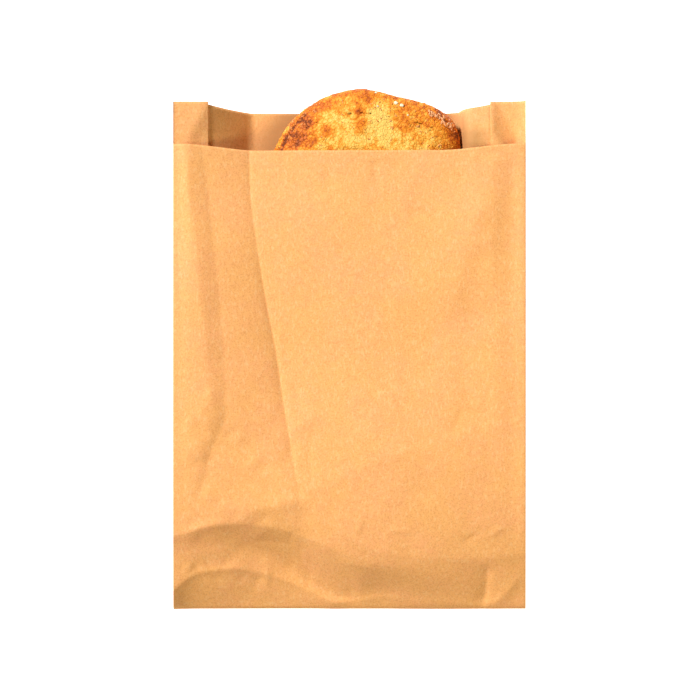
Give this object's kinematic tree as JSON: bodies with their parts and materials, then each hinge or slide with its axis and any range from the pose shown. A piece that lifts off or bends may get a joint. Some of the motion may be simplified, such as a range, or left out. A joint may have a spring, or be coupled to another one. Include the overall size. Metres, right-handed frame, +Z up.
{
  "type": "paper flap bag with a loaf",
  "caption": "Flat kraft paper bag with folded side gussets and a taller back lip, lying open round the rounded end of a long flat loaf.",
  "frame": {"origin": "bottom centre of the bounding box: on the surface that the bag lies on, below the middle of its length and width", "axes": "+X across the bag to the right as the front panel is looked at, +Y along the bag from its folded bottom to its mouth, +Z up out of the front panel"},
  "size_m": [0.18, 0.2648, 0.0243],
  "materials": {
    "kraft_paper": "matt",
    "bread_crust": "baked crust, slightly glossy"
  },
  "bodies": {
    "root": {"paper_bag": "kraft_paper", "bread": "bread_crust"}
  },
  "joints": []
}
